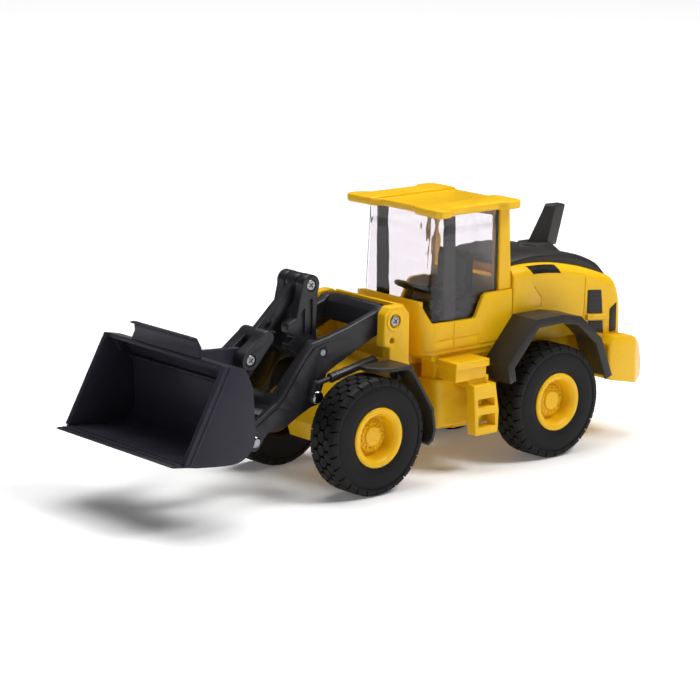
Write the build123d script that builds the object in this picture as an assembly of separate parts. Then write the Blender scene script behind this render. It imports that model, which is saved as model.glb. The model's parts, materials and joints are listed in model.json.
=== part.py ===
"""Toy front loader, about 1:32: an articulated wheel loader with a lifting boom and a tilting bucket.

Millimetres.  +X points forward (towards the bucket), +Y to the driver's left, +Z up, ground at Z = 0.
Every outline below is drawn with X = 0 at the front axle.  ORIGIN_SHIFT moves each finished piece
forward, so that the part's origin lies on the ground at the middle of its length.
"""
from build123d import *
import os
from math import atan2, degrees, hypot

# ---------------------------------------------------------------- driving dimensions
ORIGIN_SHIFT = 26.7             # from the middle of the loader's length to its front axle
WHEELBASE = 90.9
TYRE_RADIUS = 22.2
TYRE_INNER_Y = 20.8             # inner and outer sidewalls, from the centre plane
TYRE_OUTER_Y = 34.9
RIM_RADIUS = 11.3
AXLE_RADIUS = 1.5
RUNNING_GAP = 0.06              # radial clearance of a shaft that turns in its bore
BODY_HALF_WIDTH = 22.0          # cab tub and engine cover
FENDER_OUTER_Y = 35.6
HINGE_X = -WHEELBASE / 2        # centre pivot between the two frames

# side-view pivots of the loader linkage, (x, z)
BOOM_PIVOT = (-17.5, 61.5)      # boom on the front frame's towers
LEVER_PIVOT = (11.5, 52.4)      # tilt lever on the boom
LEVER_TOP = (10.3, 76.0)        # tilt lever to tilt link
LINK_FRONT = (37.7, 51.4)       # tilt link to the bucket's upper lug
BUCKET_PIVOT = (43.0, 23.8)     # bucket on the boom's tip
LIFT_PIN = (16.5, 37.0)         # lift rod on the boom
BARREL_TAIL = (-13.0, 47.6)     # rear end of the lift barrel, beside the tower's foot
BARREL_MOUTH = (10.3, 43.0)

ARM_INNER_Y = 13.3
ARM_OUTER_Y = 16.3
WEB_INNER_Y = 8.0
WEB_OUTER_Y = 10.5
TOWER_INNER_Y = 17.9
TOWER_OUTER_Y = 22.4
TOWER_HOLE = (-16.4, 54.2)      # cross hole in each tower, below the boom pivot
TOWER_HOLE_RADIUS = 1.2
SCREW_RADIUS = 1.3
SCREW_HEAD_RADIUS = 2.0
LIFT_CENTRE_Y = 18.45           # centre plane of each lift cylinder
BARREL_RADIUS = 1.85
ROD_RADIUS = 0.95
HINGE_PIN_RADIUS = 2.5
DECK_HALF_WIDTH = 20.4
HOOD_FRONT_X = -78.2
HOOD_REAR_X = -138.8


# ---------------------------------------------------------------- shape helpers
def face_of(points):
    """Flat face from corners (u, v) or (u, v, corner radius)."""
    face = make_face(Polyline(*[(p[0], p[1]) for p in points], close=True))
    for point in points:
        if len(point) == 3:
            corner = face.vertices().sort_by_distance((point[0], point[1], 0))[0]
            face = fillet(corner, point[2])
    return face


def slab(points, y_low, y_high, rim=0.0):
    """Side-view outline (x, z) carried across Y, with its two rims rounded by rim."""
    body = extrude(Plane.XZ * face_of(points), amount=y_high - y_low)
    body = Pos(0, y_high, 0) * body
    if rim:
        body = fillet(body.faces().filter_by(Axis.Y).edges(), rim)
    return body


def block(points, z_low, z_high, rim=0.0, both=False):
    """Plan outline (x, y) carried up Z, with its top rim (or both rims) rounded."""
    body = Pos(0, 0, z_low) * extrude(face_of(points), amount=z_high - z_low)
    if rim:
        faces = body.faces().filter_by(Axis.Z).sort_by(Axis.Z)
        edges = faces.edges() if both else faces[-1].edges()
        body = fillet(edges, rim)
    return body


def bar(x_low, x_high, y_low, y_high, z_low, z_high, rim=0.0):
    """Square-cornered bar, with all its edges rounded by rim."""
    size = (x_high - x_low, y_high - y_low, z_high - z_low)
    middle = ((x_low + x_high) / 2, (y_low + y_high) / 2, (z_low + z_high) / 2)
    body = Pos(*middle) * Box(*size)
    return fillet(body.edges(), rim) if rim else body


def shaft(centre, radius, y_low, y_high):
    """Cylinder along Y at a side-view centre (x, z)."""
    place = Pos(centre[0], (y_low + y_high) / 2, centre[1]) * Rot(90, 0, 0)
    return place * Cylinder(radius, y_high - y_low)


def post(x, y, radius, z_low, z_high):
    """Cylinder along Z."""
    return Pos(x, y, (z_low + z_high) / 2) * Cylinder(radius, z_high - z_low)


def inset_path(path, depth):
    """Open path moved sideways by depth, to the right of its direction, with mitred corners."""
    normals = []
    for (u0, v0), (u1, v1) in zip(path, path[1:]):
        run = hypot(u1 - u0, v1 - v0)
        normals.append(((v1 - v0) / run, -(u1 - u0) / run))
    moved = []
    for index, (u, v) in enumerate(path):
        before = normals[max(index - 1, 0)]
        after = normals[min(index, len(normals) - 1)]
        nu, nv = before[0] + after[0], before[1] + after[1]
        scale = 2 * depth / (nu * nu + nv * nv)
        moved.append((u + nu * scale, v + nv * scale))
    return moved


def ribbon(path, depth):
    """Closed outline of a sheet that follows path and is depth thick on its right-hand side."""
    return list(path) + list(reversed(inset_path(path, depth)))


def mirrored(body):
    """The same piece on the other side of the machine."""
    return mirror(body, about=Plane.XZ)


def both_sides(body):
    """One shape that holds a piece and its mirror image."""
    return body + mirrored(body)


def link_outline(start, end, start_radius, end_radius):
    """Side-view body of a bar with round ends about two pivots."""
    angle = degrees(atan2(end[1] - start[1], end[0] - start[0]))
    length = hypot(end[0] - start[0], end[1] - start[1])
    outline = face_of([(0, start_radius), (length, end_radius), (length, -end_radius), (0, -start_radius)])
    outline = outline + Circle(start_radius) + Pos(length, 0) * Circle(end_radius)
    return Pos(start[0], start[1]) * Rot(0, 0, angle) * outline


def strap(start, end, start_radius, end_radius, y_low, y_high, rim=0.0):
    """Bar with round ends, carried across Y."""
    body = extrude(Plane.XZ * link_outline(start, end, start_radius, end_radius), amount=y_high - y_low)
    body = Pos(0, y_high, 0) * body
    if rim:
        body = fillet(body.faces().filter_by(Axis.Y).edges(), rim)
    return body


def cross_screw(centre, y_tip, y_head, head_height=1.2):
    """Cross-head screw along Y: its tip at y_tip and the top of its head at y_head."""
    out = 1 if y_head > y_tip else -1
    seat = y_head - out * head_height
    low, high = sorted((y_tip, seat))
    body = shaft(centre, SCREW_RADIUS, low, high)
    low, high = sorted((seat, y_head))
    head = shaft(centre, SCREW_HEAD_RADIUS, low, high)
    head = fillet(head.edges().group_by(Axis.Y)[-1 if out > 0 else 0], 0.45)
    slot_middle = y_head - out * 0.3
    for turn in (35, 125):
        place = Pos(centre[0], slot_middle, centre[1]) * Rot(0, turn, 0)
        head -= place * Box(2.3, 0.7, 0.5)
    return body + head


def dome_pin(centre, radius, y_tip, y_seat, head_radius, head_height):
    """Pin along Y with a domed head that starts at y_seat and points away from y_tip."""
    out = 1 if y_seat > y_tip else -1
    low, high = sorted((y_tip, y_seat))
    body = shaft(centre, radius, low, high)
    low, high = sorted((y_seat, y_seat + out * head_height))
    head = shaft(centre, head_radius, low, high)
    head = fillet(head.edges().group_by(Axis.Y)[-1 if out > 0 else 0], head_height * 0.9)
    return body + head


# ---------------------------------------------------------------- wheels
def tyre(axle_x):
    """Left tyre: square-shouldered carcass with a flat tread, bored for its rim."""
    inner, outer, top = TYRE_INNER_Y, TYRE_OUTER_Y, TYRE_RADIUS
    bead = RIM_RADIUS - 1.0
    profile = [(bead, inner), (bead, outer - 1.4), (RIM_RADIUS + 0.05, outer - 1.4),
               (RIM_RADIUS + 0.3, outer - 0.3), (RIM_RADIUS + 3.0, outer), (top - 5.0, outer),
               (top - 1.4, outer - 1.2), (top - 0.2, outer - 2.6),
               (top, outer - 4.4), (top, inner + 4.4), (top - 0.2, inner + 2.6), (top - 1.4, inner + 1.2),
               (top - 5.0, inner)]
    return Pos(axle_x, 0, TYRE_RADIUS) * revolve(face_of(profile), Axis.Y)


def rim(axle_x):
    """Left rim: rounded outer ring, deep dish, bolted hub and a boss pressed on the axle."""
    seat = RIM_RADIUS - 1.05
    outer = TYRE_OUTER_Y
    profile = [(AXLE_RADIUS, outer - 12.5), (4.2, outer - 12.5), (4.2, outer - 9.0), (seat, outer - 9.0),
               (seat, outer - 1.3), (RIM_RADIUS, outer - 1.0), (RIM_RADIUS, outer - 0.1),
               (RIM_RADIUS - 0.5, outer + 0.1), (RIM_RADIUS - 2.0, outer + 0.1), (RIM_RADIUS - 2.7, outer - 0.5),
               (RIM_RADIUS - 3.5, outer - 5.2), (6.2, outer - 5.6), (5.9, outer - 4.1), (3.7, outer - 3.9),
               (3.5, outer - 3.2), (0.0, outer - 3.2), (0.0, outer - 6.0), (AXLE_RADIUS, outer - 6.0)]
    body = revolve(face_of(profile), Axis.Y)
    bolts = Sketch() + [loc * Circle(0.45) for loc in PolarLocations(4.8, 16)]
    heads = Pos(0, outer - 3.5, 0) * extrude(Plane.XZ * bolts, amount=0.7)
    return Pos(axle_x, 0, TYRE_RADIUS) * (body + heads)


def axle_rod(axle_x):
    """Steel rod that carries both wheels of an axle."""
    return shaft((axle_x, TYRE_RADIUS), AXLE_RADIUS, -(TYRE_OUTER_Y - 6.2), TYRE_OUTER_Y - 6.2)


# ---------------------------------------------------------------- rear frame
def rear_chassis():
    """Spine under the engine, deck under the cab, centre-hinge plates and the tanks beside them."""
    spine = bar(-124.0, -56.0, -13.0, 13.0, 13.0, 44.0)
    tail = slab([(-124.0, 22.0), (-120.0, 30.0), (-116.0, 44.0), (-124.0, 44.0)], -19.0, 19.0)
    deck = bar(HOOD_FRONT_X, -38.0, -DECK_HALF_WIDTH, DECK_HALF_WIDTH, 43.0, 47.3)
    hinge_plate = [(-56.0, -12.0), (-36.5, -7.0, 4.0), (-36.5, 7.0, 4.0), (-56.0, 12.0)]
    upper = block(hinge_plate, 39.7, 43.0)
    lower = block(hinge_plate, 13.0, 17.3)
    tank_plan = [(-38.0, 13.0), (-38.0, 23.6, 3.5), (-62.0, 23.6, 1.5), (-62.0, 13.0)]
    tank = block(tank_plan, 17.5, 36.0, rim=1.0, both=True)
    web = bar(-62.0, -39.5, 13.0, 20.0, 35.0, 43.5)
    rib = bar(-62.0, -56.0, 12.0, 14.0, 18.5, 40.0)
    boss = shaft((-WHEELBASE, TYRE_RADIUS), 4.6, -19.8, 19.8)
    body = spine + tail + deck + upper + lower + boss + both_sides(tank + web + rib)
    body -= shaft((-WHEELBASE, TYRE_RADIUS), AXLE_RADIUS + RUNNING_GAP, -21.0, 21.0)
    body -= post(HINGE_X, 0, HINGE_PIN_RADIUS, 10.0, 45.0)
    return body


def articulation_pin():
    """Vertical steel pin of the centre hinge, with a flat head under the lower plate."""
    return post(HINGE_X, 0, HINGE_PIN_RADIUS, 12.9, 42.9) + post(HINGE_X, 0, 4.0, 11.7, 13.0)


def cab_plan(half_width, front_x, rear_x, corner):
    """Plan outline of the cab: rounded front corners, nearly square rear ones."""
    return [(front_x, -half_width, corner), (front_x, half_width, corner),
            (rear_x, half_width, 1.0), (rear_x, -half_width, 1.0)]


def cab_tub():
    """Lower cab body: an open tub with a high cowl, low door sills and raised rear corners."""
    wall = 1.6
    tub = block(cab_plan(BODY_HALF_WIDTH, -32.6, -78.0, 8.0), 47.3, 66.3)
    tub -= block(cab_plan(BODY_HALF_WIDTH - wall, -36.2, -78.0 + wall, 3.0), 49.0, 70.0)
    opening = [(-30.0, 66.9), (-33.6, 65.6), (-35.4, 61.0), (-37.2, 57.6, 1.5), (-58.4, 57.2, 2.0),
               (-62.6, 65.4, 1.5), (-64.6, 66.3), (-64.6, 72.0), (-30.0, 72.0)]
    tub -= slab(opening, -BODY_HALF_WIDTH - 1.0, BODY_HALF_WIDTH + 1.0)
    cowl = block(cab_plan(17.5, -32.6, -36.2, 0.5), 49.0, 65.4)
    return tub + (cowl & block(cab_plan(BODY_HALF_WIDTH, -32.6, -78.0, 8.0), 47.3, 66.3))


def cab_skirt():
    """Band under the door sills, a little proud of the deck."""
    band = block(cab_plan(BODY_HALF_WIDTH - 0.5, -33.2, -77.4, 7.6), 45.4, 47.3)
    return band - bar(-79.0, -38.0, -DECK_HALF_WIDTH, DECK_HALF_WIDTH, 40.0, 48.0)


DASH_OUTLINE = [(-39.0, 51.0), (-46.5, 51.0), (-45.5, 60.0, 1.0), (-42.5, 63.4, 1.0), (-39.4, 62.6, 1.0)]


def cab_interior():
    """Black floor, dash console and rear shelf, moulded as one."""
    floor = block(cab_plan(19.0, -38.2, -70.4, 2.5), 49.0, 51.0)
    dash = slab(DASH_OUTLINE, -12.0, 12.0, rim=0.6)
    shelf = bar(-70.4, -60.6, -18.8, 18.8, 51.0, 62.5, rim=0.7)
    lining = bar(-60.6, -42.0, 18.2, 19.0, 51.0, 57.4)
    lever_stem = Pos(-51.5, 12.0, 65.5) * Cone(1.6, 0.5, 15.0)
    console = bar(-57.0, -46.0, 8.4, 16.0, 51.0, 59.0, rim=0.8)
    return floor + dash + shelf + both_sides(lining) + console + lever_stem


def seat():
    """Driver's seat: cushion and a rounded back with a head restraint."""
    cushion = bar(-64.5, -52.0, -7.2, 7.2, 51.0, 61.0, rim=2.0)
    back = slab([(-65.2, 60.0), (-65.6, 77.4, 1.5), (-67.6, 80.4, 1.2), (-70.2, 78.0, 1.5), (-70.2, 60.0)],
                -7.6, 7.6, rim=0.8)
    knuckle = bar(-67.0, -58.4, -6.0, 6.0, 58.5, 65.5, rim=0.5)
    body = cushion + back + knuckle
    return body - bar(-75.0, -60.6, -20.0, 20.0, 50.0, 62.5)


def steering_wheel():
    """Steering wheel on its raked column, standing on the dash."""
    place = Pos(-46.0, 0, 67.4) * Rot(0, -24, 0)
    ring = Torus(6.3, 0.95)
    hub = Cylinder(1.9, 1.6)
    spokes = Box(12.6, 1.5, 1.0) + Box(1.5, 12.6, 1.0)
    column = Pos(0, 0, -3.6) * Cylinder(1.3, 7.2)
    wheel = place * (ring + hub + spokes + column)
    return wheel - dash_envelope()


def dash_envelope():
    """Space that the dash fills, kept clear by the steering column."""
    return slab(DASH_OUTLINE, -12.0, 12.0)


def glass_box(inward):
    """Solid of the glazing's outer shape, drawn in by inward."""
    side, rear = 20.2 - inward, -71.4 + inward
    low = Plane.XY.offset(52.0) * face_of(cab_plan(side, -36.9 - inward, rear, 4.0 - inward))
    high = Plane.XY.offset(98.2) * face_of(cab_plan(side + 0.5, -40.0 - inward, rear, 4.0 - inward))
    return loft([low, high])


def cab_glazing():
    """Clear moulding that wraps the cab: windscreen, side windows and rear window."""
    return glass_box(0.0) - glass_box(0.9) - bar(-38.0, -30.0, -25.0, 25.0, 40.0, 55.0)


def door_pillars():
    """Dark door pillar inside each side window."""
    return slab([(-44.6, 57.6), (-50.6, 57.6), (-49.7, 97.0), (-44.4, 97.0)], 18.3, 19.2, rim=0.2)


def cab_rear_frame():
    """Rear wall of the cab above the tub, with a corner pillar each side and the rear window opening."""
    pillar_line = [(-71.5, 66.3), (-78.0, 66.3), (-76.4, 98.2), (-71.5, 98.2)]
    gate = slab(pillar_line, -20.9, 20.9, rim=0.5)
    return gate - bar(-80.0, -70.0, -16.4, 16.4, 71.0, 94.5)


def cab_roof():
    """Roof plate with a lobe at each corner and a shallow channel along its middle."""
    half = [(-38.3, 0.0), (-38.3, 9.6, 1.5), (-35.2, 12.4, 1.5), (-34.4, 25.4, 1.6), (-36.0, 27.5, 1.6),
            (-40.4, 27.5, 2.0), (-45.4, 24.0, 2.0), (-67.6, 24.0, 2.0), (-70.4, 26.6, 2.0), (-76.4, 26.6, 2.0),
            (-78.6, 24.2, 2.0), (-78.6, 13.6, 2.0), (-77.0, 10.0, 2.0), (-77.0, 0.0)]
    body = block(doubled_open(half), 98.2, 101.5, rim=1.1, both=True)
    return body - bar(-90.0, -30.0, -11.2, 11.2, 100.8, 103.0)


def doubled_open(half):
    """Full plan outline from a left half whose first and last points lie on the centre line."""
    right = [(p[0], -p[1]) + tuple(p[2:]) for p in reversed(half[1:-1])]
    return half[1:-1] + right


HOOD_TOP = [(HOOD_FRONT_X, 74.0), (-92.0, 74.3), (-106.0, 72.6), (-120.0, 69.2), (-132.0, 65.0)]
HOOD_CROWN = [(HOOD_FRONT_X, 76.2), (-90.0, 77.6), (-103.0, 77.2), (-116.0, 74.9), (-127.5, 70.2)]


def hood_side(shrink):
    """Engine cover's side outline, drawn in by shrink."""
    top = Spline(*[(x, z - shrink) for x, z in HOOD_TOP])
    nose = Spline((HOOD_TOP[-1][0], HOOD_TOP[-1][1] - shrink), (HOOD_REAR_X + 1.6 + shrink, 58.6),
                  (HOOD_REAR_X + shrink, 46.0), tangents=[(-1.0, -0.42), (0, -1)])
    rest = Polyline((HOOD_REAR_X + shrink, 46.0), (HOOD_REAR_X + shrink, 38.0), (-122.0, 38.0), (-118.0, 44.1),
                    (HOOD_FRONT_X, 44.1), (HOOD_FRONT_X, HOOD_TOP[0][1] - shrink))
    return make_face([top, nose, rest])


def hood():
    """Engine cover: a shell with rounded shoulders, open underneath."""
    width = BODY_HALF_WIDTH
    body = Pos(0, width, 0) * extrude(Plane.XZ * hood_side(0.0), amount=2 * width)
    shoulders = [e for e in body.edges() if e.center().Z > 45.5 and abs(e.center().Y) > width - 0.1
                 and e.center().X < HOOD_FRONT_X - 1.0]
    body = fillet(shoulders, 4.2)
    inner = width - 2.0
    hollow = Pos(0, inner, 0) * extrude(Plane.XZ * hood_side(3.2), amount=2 * inner)
    hollow &= bar(HOOD_REAR_X + 2.0, HOOD_FRONT_X - 2.0, -inner, inner, 30.0, 80.0)
    tail_space = slab([(-124.0, 22.0), (-120.0, 30.0), (-116.0, 44.1), (-124.0, 44.1)], -19.1, 19.1)
    return body - hollow - tail_space


def hood_top():
    """Dark crowned cover on the engine cover's upper face, with a low pad under the fin."""
    low = Spline(*HOOD_TOP)
    high = Spline(*HOOD_CROWN)
    tail = Line(HOOD_CROWN[-1], HOOD_TOP[-1])
    front = Line(HOOD_TOP[0], HOOD_CROWN[0])
    width = 17.6
    body = Pos(0, width, 0) * extrude(Plane.XZ * make_face([low, tail, high, front]), amount=2 * width)
    rims = [e for e in body.edges() if abs(e.center().Y) > width - 0.1 and e.length > 30.0]
    upper = [e for e in rims if e.center().Z > 74.2]
    body = fillet(upper, 2.0)
    pad_foot = [(-97.0, 0.0), (-105.0, 9.0), (-120.0, 8.0), (-120.0, -8.0), (-105.0, -9.0)]
    pad_top = [(-102.0, 0.0), (-106.0, 5.0), (-114.0, 4.6), (-114.0, -4.6), (-106.0, -5.0)]
    pad = loft([Plane.XY.offset(72.0) * face_of(pad_foot), Plane.XY.offset(78.2) * face_of(pad_top)])
    pad -= Pos(0, 30, 0) * extrude(Plane.XZ * hood_side(0.0), amount=60.0)
    return body + pad


def intake_fin():
    """Raked fin on the engine cover: a kite-shaped base that tapers to a blunt top."""
    base = [(-105.0, 0.0), (-112.0, 4.5), (-119.4, 2.6), (-119.4, -2.6), (-112.0, -4.5)]
    top = [(-115.4, 0.0), (-118.4, 3.0), (-124.6, 2.0), (-124.6, -2.0), (-118.4, -3.0)]
    body = loft([Plane.XY.offset(76.5) * face_of(base), Plane.XY.offset(92.2) * face_of(top)])
    body = fillet(body.faces().sort_by(Axis.Z)[-1].edges(), 0.8)
    return body - hood_top() - Pos(0, 30, 0) * extrude(Plane.XZ * hood_side(0.0), amount=60.0)


def side_vents():
    """Dark louvre panels on each side of the engine cover."""
    y_low, y_high = BODY_HALF_WIDTH, BODY_HALF_WIDTH + 0.35
    upper = slab([(-118.4, 61.0, 0.8), (-126.0, 60.2, 0.8), (-127.0, 50.6, 0.3), (-118.2, 51.6, 0.3)],
                 y_low, y_high)
    lower = slab([(-118.8, 48.6, 0.3), (-127.2, 47.6, 0.3), (-127.7, 42.4), (-119.8, 44.4)], y_low, y_high)
    return both_sides(upper + lower)


def vent_bars():
    """Small ledge between the two louvre panels on each side."""
    ledge = slab([(-117.6, 51.4, 0.6), (-128.6, 50.4, 0.6), (-128.6, 48.0, 0.6), (-117.6, 49.0, 0.6)],
                 BODY_HALF_WIDTH, BODY_HALF_WIDTH + 1.3, rim=0.4)
    return both_sides(ledge)


def side_plates():
    """Plain dark plate at the rear edge of each side of the engine cover."""
    strip = slab([(-131.0, 51.8), (-134.6, 54.2), (-134.6, 42.6), (-131.0, 42.6)],
                 BODY_HALF_WIDTH, BODY_HALF_WIDTH + 0.3)
    return both_sides(strip)


def counterweight():
    """Heavy rear block that wraps the tail: full width, with cut-back corners."""
    side = [(-124.6, 39.0, 2.0), (-128.0, 42.2, 2.5), (-137.0, 41.6, 4.0), (-143.2, 37.6, 3.0),
            (-147.9, 27.6, 3.0), (-146.0, 23.4, 2.0), (-141.0, 21.6, 2.0), (-124.6, 25.0, 2.0)]
    body = slab(side, -28.8, 28.8)
    plan = [(-124.0, -28.8, 2.0), (-139.5, -28.8, 2.5), (-148.6, -23.6, 4.0), (-148.6, 23.6, 4.0),
            (-139.5, 28.8, 2.5), (-124.0, 28.8, 2.0)]
    body &= block(plan, 10.0, 60.0)
    half = BODY_HALF_WIDTH + 0.05
    hood_space = Pos(0, half, 0) * extrude(Plane.XZ * hood_side(-0.05), amount=2 * half)
    return body - hood_space - bar(-124.0, -100.0, -19.0, 19.0, 10.0, 60.0)


REAR_FENDER_PATH = [(-119.6, 29.0), (-113.2, 44.6), (-101.6, 54.8), (-92.0, 56.6), (-78.0, 56.4),
                    (-63.2, 40.0), (-64.6, 33.2)]


def rear_fender():
    """Left rear mudguard: a folded sheet with a deeper skirt along its outer edge."""
    sheet = slab(ribbon(REAR_FENDER_PATH, 1.5), BODY_HALF_WIDTH + 0.05, FENDER_OUTER_Y)
    skirt = slab(ribbon(REAR_FENDER_PATH, 3.4), FENDER_OUTER_Y - 1.3, FENDER_OUTER_Y, rim=0.3)
    body = sheet + skirt
    clear = bar(-130.0, -118.2, 0.0, 26.0, 20.0, 60.0)
    return body - clear


def step_ladder():
    """Left boarding steps: a platform under the door and a two-rung ladder hung below it."""
    platform = bar(-57.2, -40.2, 20.4, 32.0, 40.8, 43.8, rim=0.5)
    riser = bar(-56.6, -41.0, 20.0, 30.8, 36.0, 41.2, rim=0.4)
    side = [(-47.2, 34.6, 0.5), (-58.4, 34.6, 0.5), (-60.4, 23.5, 0.8), (-60.0, 15.0, 0.8), (-48.6, 15.0, 0.8)]
    frame = slab(side, 29.4, 34.2, rim=0.4)
    frame -= slab([(-49.6, 25.8), (-58.2, 25.8), (-57.8, 29.0), (-49.4, 29.0)], 28.0, 36.0)
    frame -= slab([(-49.8, 18.0), (-58.6, 18.0), (-58.4, 22.8), (-49.8, 22.8)], 28.0, 36.0)
    frame -= slab([(-49.2, 31.8), (-56.6, 31.8), (-56.4, 36.0), (-49.2, 36.0)], 28.0, 32.4)
    hanger = bar(-58.0, -47.8, 23.6, 30.4, 33.0, 37.0)
    return platform + riser + frame + hanger


def chassis_screws():
    """Four cross-head screws that hold the rear chassis together from below."""
    screws = Part()
    for x in (-66.0, -112.0):
        for y in (-8.5, 8.5):
            recess = Pos(x, y, 12.0) * (Box(2.3, 0.5, 0.8) + Box(0.5, 2.3, 0.8))
            screws += post(x, y, SCREW_HEAD_RADIUS, 11.9, 13.0) - recess
    return screws


def rear_grille():
    """Dark ribbed radiator grille in the back of the engine cover."""
    plate = bar(HOOD_REAR_X - 0.5, HOOD_REAR_X, -14.0, 14.0, 43.5, 56.0)
    ribs = Part()
    for index in range(6):
        z = 44.9 + index * 2.0
        ribs += bar(HOOD_REAR_X - 0.9, HOOD_REAR_X - 0.5, -13.0, 13.0, z, z + 0.8)
    return plate + ribs - counterweight()


# ---------------------------------------------------------------- front frame
def front_chassis():
    """Nose block over the axle, two towers joined by a rear wall, and the tongue of the centre hinge."""
    tower_side = [(-15.2, 44.0), (-15.2, 51.4), (-12.4, 52.4), (-12.8, 64.4, 2.4), (-15.2, 67.0, 2.0),
                  (-22.0, 67.0, 3.0), (-25.0, 63.6, 1.5), (-25.0, 40.0)]
    tower = slab(tower_side, TOWER_INNER_Y, TOWER_OUTER_Y, rim=0.7)
    ring = shaft(BOOM_PIVOT, 3.9, TOWER_OUTER_Y - 0.5, TOWER_OUTER_Y + 0.5)
    ring = fillet(ring.edges().group_by(Axis.Y)[-1], 0.4)
    wall = slab([(-25.0, 38.0), (-25.0, 66.4, 0.6), (-23.3, 66.4, 0.6), (-23.3, 38.0)],
                -TOWER_INNER_Y - 1.0, TOWER_INNER_Y + 1.0)
    nose = slab([(-25.0, 14.0), (-25.0, 45.0), (-9.0, 41.0), (-2.5, 34.0), (4.6, 28.0), (6.6, 22.0), (4.4, 15.0),
                 (-4.0, 12.0), (-20.0, 12.0)], -12.2, 12.2, rim=0.8)
    cheek = slab([(-25.0, 38.0), (-25.0, 45.0), (-15.2, 45.0), (-15.2, 38.0)], 12.0, TOWER_OUTER_Y)
    tongue = block([(-24.0, -8.0), (-24.0, 8.0), (HINGE_X, 6.4), (HINGE_X, -6.4)], 17.7, 39.3)
    tongue += post(HINGE_X, 0, 6.4, 17.7, 39.3)
    body = nose + wall + tongue + both_sides(tower + ring + cheek)
    body -= shaft((0.0, TYRE_RADIUS), AXLE_RADIUS + RUNNING_GAP, -14.0, 14.0)
    body -= post(HINGE_X, 0, HINGE_PIN_RADIUS + RUNNING_GAP, 10.0, 45.0)
    body -= both_sides(shaft(BOOM_PIVOT, SCREW_HEAD_RADIUS + 0.7, TOWER_OUTER_Y - 0.6, 26.0))
    body -= both_sides(shaft(BOOM_PIVOT, SCREW_RADIUS, 16.0, 24.0))
    body -= both_sides(shaft(TOWER_HOLE, TOWER_HOLE_RADIUS, 16.0, 24.0))
    return body


def boom_screw():
    """Left shoulder screw of the boom pivot."""
    return cross_screw(BOOM_PIVOT, ARM_INNER_Y - 0.6, TOWER_OUTER_Y + 0.5, head_height=1.1)


FRONT_FLAP_PATH = [(-24.0, 15.6), (-26.2, 17.0), (-27.6, 20.8), (-26.4, 29.4), (-16.2, 45.6), (-14.0, 46.9)]


def front_fender():
    """Left front mudguard: a flat plate with a curved outer edge and a folded flap behind the tyre."""
    plan = [(-15.6, TOWER_OUTER_Y + 0.3), (0.6, TOWER_OUTER_Y + 0.3, 1.0), (1.0, 27.0, 4.0), (-1.6, 32.4, 4.0),
            (-6.4, 34.8, 3.0), (-15.6, 35.2)]
    plate = block(plan, 46.0, 47.4, rim=0.6)
    flap = slab(ribbon(FRONT_FLAP_PATH, 1.3), TOWER_OUTER_Y + 0.3, 35.2, rim=0.3)
    mount = bar(-21.0, -15.8, TOWER_OUTER_Y, TOWER_OUTER_Y + 4.0, 40.2, 43.0)
    return plate + flap + mount


# ---------------------------------------------------------------- boom
def arm_outline():
    """Side-view outline of one boom arm."""
    return [(-21.0, 64.6, 2.5), (-15.0, 64.9, 1.0), (-1.2, 60.5), (9.1, 57.9), (16.6, 56.6, 2.0), (21.4, 51.6),
            (25.7, 45.7), (29.9, 40.0), (33.2, 36.6, 2.0), (38.3, 33.4), (43.3, 30.6, 2.0), (47.0, 25.6, 3.0),
            (46.4, 20.6, 3.0), (41.6, 20.0, 2.5), (38.4, 24.6), (36.6, 26.2, 1.5), (33.1, 26.3), (28.5, 27.1),
            (21.7, 30.7), (17.0, 32.6, 1.5), (13.4, 33.2, 1.5), (12.0, 38.0), (9.6, 44.6, 2.0), (-0.3, 49.3),
            (-12.6, 54.8), (-19.0, 57.0, 2.0), (-22.0, 60.4, 2.0)]


def boom():
    """Boom: two arms, a cross-bar at their root, a tube near their tips and two inner webs."""
    arm = slab(arm_outline(), ARM_INNER_Y, ARM_OUTER_Y, rim=0.5)
    web = strap(LEVER_PIVOT, (28.0, 33.0), 3.6, 4.2, WEB_INNER_Y, WEB_OUTER_Y, rim=0.4)
    web_boss = shaft(LEVER_PIVOT, 2.6, WEB_OUTER_Y - 0.2, ARM_INNER_Y + 0.2)
    hub = shaft(BOOM_PIVOT, 4.7, ARM_INNER_Y, TOWER_INNER_Y - 0.3)
    root_side = [(-19.4, 66.4, 0.8), (-16.6, 66.4, 0.6), (-14.6, 64.0, 0.8), (-12.9, 57.4, 0.8),
                 (-17.2, 56.8, 1.0), (-21.8, 61.0, 1.0)]
    root = slab(root_side, -ARM_INNER_Y - 0.2, ARM_INNER_Y + 0.2)
    tube = shaft((28.0, 33.0), 4.6, -ARM_INNER_Y - 0.2, ARM_INNER_Y + 0.2)
    body = root + tube + both_sides(arm + web + web_boss + hub)
    body -= shaft(BOOM_PIVOT, SCREW_RADIUS + RUNNING_GAP, 12.6, 20.0)
    body -= shaft(BOOM_PIVOT, SCREW_RADIUS + RUNNING_GAP, -20.0, -12.6)
    body -= shaft(LEVER_PIVOT, 1.15, -20.0, 20.0)
    body -= both_sides(shaft(BUCKET_PIVOT, 1.5, 12.0, 20.0) + shaft(LIFT_PIN, 1.2, 12.0, 20.0))
    body -= both_sides(shaft(LEVER_PIVOT, 2.0, ARM_OUTER_Y - 0.4, 20.0))
    return body


def lever_pin():
    """Steel pin of the tilt lever, flush in the boom arms."""
    return shaft(LEVER_PIVOT, 1.15, -ARM_OUTER_Y + 0.1, ARM_OUTER_Y - 0.1)


def lift_pins():
    """Domed pin each side that carries the lift rod."""
    return both_sides(dome_pin(LIFT_PIN, 1.2, ARM_INNER_Y + 0.3, 19.1, 2.5, 1.2))


def bucket_pins():
    """Domed pin each side between the boom's tip and the bucket's lower lug."""
    return both_sides(dome_pin(BUCKET_PIVOT, 1.5, 9.7, ARM_OUTER_Y, 2.3, 1.3))


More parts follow.
